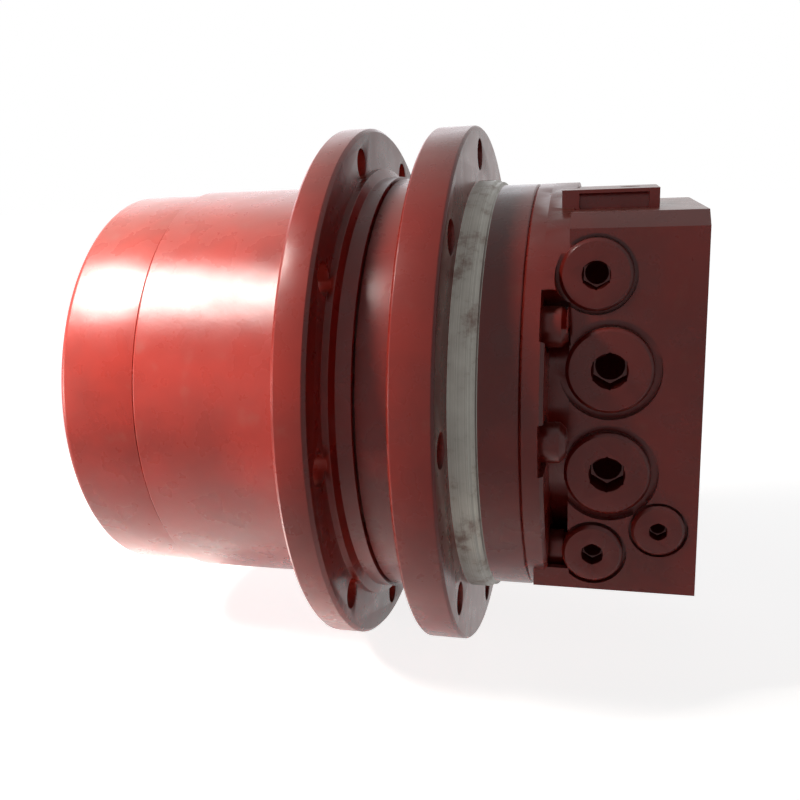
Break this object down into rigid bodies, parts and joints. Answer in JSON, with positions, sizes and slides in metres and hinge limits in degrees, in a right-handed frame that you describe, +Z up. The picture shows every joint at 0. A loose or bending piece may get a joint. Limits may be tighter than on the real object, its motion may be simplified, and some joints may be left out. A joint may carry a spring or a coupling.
{
  "type": "excavator final drive",
  "caption": "Track drive for a small excavator: planetary reduction hub with sprocket flange, axial-piston motor, parking brake and valve block.",
  "frame": {"origin": "centre of the frame-mounting face of the fixed flange, on the turning axis", "axes": "+X along the turning axis from the hub towards the valve block, +Z up through the top port pad, +Y away from the side that holds the single plugs"},
  "size_m": [0.2635, 0.24, 0.24],
  "materials": {
    "red_enamel": "semi-gloss red-oxide enamel over cast iron",
    "gear_steel": "case-hardened and ground",
    "forged_steel": "turned, oiled",
    "bearing_steel": "ground and honed",
    "seal_iron": "lapped face",
    "black_rubber": "moulded nitrile",
    "bronze": "turned bronze",
    "spring_steel": "blued spring steel",
    "brake_lining": "sintered friction facing"
  },
  "bodies": {
    "housing": {"motor_housing": "red_enamel", "valve_block": "red_enamel", "speed_valve_plug": "red_enamel", "gauge_port_plugs": "red_enamel", "spool_end_caps": "red_enamel", "relief_valve_plugs": "red_enamel", "valve_block_screws": "red_enamel", "second_carrier": "forged_steel", "second_planet_pins": "gear_steel", "carrier_bolts": "forged_steel", "spindle_bearing_cones": "bearing_steel", "frame_seal_ring": "seal_iron", "frame_seal_toric": "black_rubber", "shaft_oil_seal": "black_rubber", "shaft_bearing_outer_races": "bearing_steel", "swash_plate": "forged_steel", "swash_pivot_balls": "bearing_steel", "speed_control_piston": "forged_steel", "brake_separator_plates": "spring_steel", "brake_disc_springs": "spring_steel", "valve_plate": "bronze", "valve_springs": "spring_steel"},
    "hub": {"hub_drum": "red_enamel", "end_cover": "red_enamel", "cover_plugs": "red_enamel", "cover_retaining_wire": "spring_steel", "cover_o_ring": "black_rubber", "hub_bearing_cups": "bearing_steel", "hub_seal_ring": "seal_iron", "hub_seal_toric": "black_rubber", "sun_thrust_pad": "bronze"},
    "first_carrier": {"first_carrier": "forged_steel", "first_planet_pins": "gear_steel", "second_sun_gear": "gear_steel"},
    "shaft": {"drive_shaft": "forged_steel", "first_sun_gear": "gear_steel", "cylinder_block": "forged_steel", "motor_pistons": "bearing_steel", "piston_slippers": "bronze", "slipper_retainer": "forged_steel", "retainer_ball_guide": "forged_steel", "cylinder_block_spring": "spring_steel", "brake_friction_discs": "brake_lining", "shaft_bearing_inner_races": "bearing_steel"},
    "outer_rollers": {"outer_bearing_rollers": "bearing_steel"},
    "inner_rollers": {"inner_bearing_rollers": "bearing_steel"},
    "shaft_rollers": {"shaft_bearing_rollers": "bearing_steel"},
    "brake_piston": {"brake_piston": "forged_steel", "brake_piston_seals": "black_rubber"},
    "counterbalance_spool": {"counterbalance_spool": "bearing_steel"},
    "front_relief": {"front_relief_poppet": "bearing_steel"},
    "rear_relief": {"rear_relief_poppet": "bearing_steel"},
    "speed_spool": {"speed_selector_spool": "bearing_steel"},
    "first_planet_1": {"first_planet_gear_1": "gear_steel"},
    "first_planet_2": {"first_planet_gear_2": "gear_steel"},
    "first_planet_3": {"first_planet_gear_3": "gear_steel"},
    "second_planet_1": {"second_planet_gear_1": "gear_steel"},
    "second_planet_2": {"second_planet_gear_2": "gear_steel"},
    "second_planet_3": {"second_planet_gear_3": "gear_steel"},
    "second_planet_4": {"second_planet_gear_4": "gear_steel"}
  },
  "joints": [
    {"name": "hub_turn", "type": "hinge", "parent": "housing", "child": "hub", "pos_m": [0, 0, 0], "axis": [1, 0, 0], "continuous": true},
    {"name": "first_carrier_turn", "type": "hinge", "parent": "housing", "child": "first_carrier", "pos_m": [0, 0, 0], "axis": [1, 0, 0], "continuous": true},
    {"name": "first_planet_1_turn", "type": "hinge", "parent": "first_carrier", "child": "first_planet_1", "pos_m": [-0.136, 0, 0.045], "axis": [1, 0, 0], "continuous": true},
    {"name": "first_planet_2_turn", "type": "hinge", "parent": "first_carrier", "child": "first_planet_2", "pos_m": [-0.136, -0.03897, -0.0225], "axis": [1, 0, 0], "continuous": true},
    {"name": "first_planet_3_turn", "type": "hinge", "parent": "first_carrier", "child": "first_planet_3", "pos_m": [-0.136, 0.03897, -0.0225], "axis": [1, 0, 0], "continuous": true},
    {"name": "second_planet_1_turn", "type": "hinge", "parent": "housing", "child": "second_planet_1", "pos_m": [-0.106, 0, 0.048], "axis": [1, 0, 0], "continuous": true},
    {"name": "second_planet_2_turn", "type": "hinge", "parent": "housing", "child": "second_planet_2", "pos_m": [-0.106, -0.048, 0], "axis": [1, 0, 0], "continuous": true},
    {"name": "second_planet_3_turn", "type": "hinge", "parent": "housing", "child": "second_planet_3", "pos_m": [-0.106, 0, -0.048], "axis": [1, 0, 0], "continuous": true},
    {"name": "second_planet_4_turn", "type": "hinge", "parent": "housing", "child": "second_planet_4", "pos_m": [-0.106, 0.048, 0], "axis": [1, 0, 0], "continuous": true},
    {"name": "shaft_turn", "type": "hinge", "parent": "housing", "child": "shaft", "pos_m": [0, 0, 0], "axis": [1, 0, 0], "continuous": true},
    {"name": "outer_rollers_turn", "type": "hinge", "parent": "housing", "child": "outer_rollers", "pos_m": [-0.075, 0, 0], "axis": [1, 0, 0], "continuous": true},
    {"name": "inner_rollers_turn", "type": "hinge", "parent": "housing", "child": "inner_rollers", "pos_m": [-0.05, 0, 0], "axis": [1, 0, 0], "continuous": true},
    {"name": "shaft_rollers_turn", "type": "hinge", "parent": "housing", "child": "shaft_rollers", "pos_m": [-0.0665, 0, 0], "axis": [1, 0, 0], "continuous": true},
    {"name": "brake_release", "type": "slide", "parent": "housing", "child": "brake_piston", "axis": [1, 0, 0], "range_m": [0, 0.0012], "stiffness_N_per_m": 60000, "springref_m": -0.003},
    {"name": "counterbalance_shift", "type": "slide", "parent": "housing", "child": "counterbalance_spool", "axis": [0, 1, 0], "range_m": [-0.003, 0.003], "stiffness_N_per_m": 8000},
    {"name": "front_relief_lift", "type": "slide", "parent": "housing", "child": "front_relief", "axis": [0, -1, 0], "range_m": [0, 0.0025], "stiffness_N_per_m": 20000, "springref_m": -0.002},
    {"name": "rear_relief_lift", "type": "slide", "parent": "housing", "child": "rear_relief", "axis": [0, 1, 0], "range_m": [0, 0.0025], "stiffness_N_per_m": 20000, "springref_m": -0.002},
    {"name": "speed_shift", "type": "slide", "parent": "housing", "child": "speed_spool", "axis": [0, -1, 0], "range_m": [0, 0.003], "stiffness_N_per_m": 4000, "springref_m": -0.002}
  ],
  "couplings": [
    {"joint": "first_carrier_turn", "follows": "hub_turn", "ratio": -4.3333},
    {"joint": "first_planet_1_turn", "follows": "hub_turn", "ratio": 12.606},
    {"joint": "first_planet_2_turn", "follows": "hub_turn", "ratio": 12.606},
    {"joint": "first_planet_3_turn", "follows": "hub_turn", "ratio": 12.606},
    {"joint": "second_planet_1_turn", "follows": "hub_turn", "ratio": 2.6},
    {"joint": "second_planet_2_turn", "follows": "hub_turn", "ratio": 2.6},
    {"joint": "second_planet_3_turn", "follows": "hub_turn", "ratio": 2.6},
    {"joint": "second_planet_4_turn", "follows": "hub_turn", "ratio": 2.6},
    {"joint": "shaft_turn", "follows": "hub_turn", "ratio": -39},
    {"joint": "outer_rollers_turn", "follows": "hub_turn", "ratio": 0.5268},
    {"joint": "inner_rollers_turn", "follows": "hub_turn", "ratio": 0.5268},
    {"joint": "shaft_rollers_turn", "follows": "hub_turn", "ratio": -16.244}
  ]
}
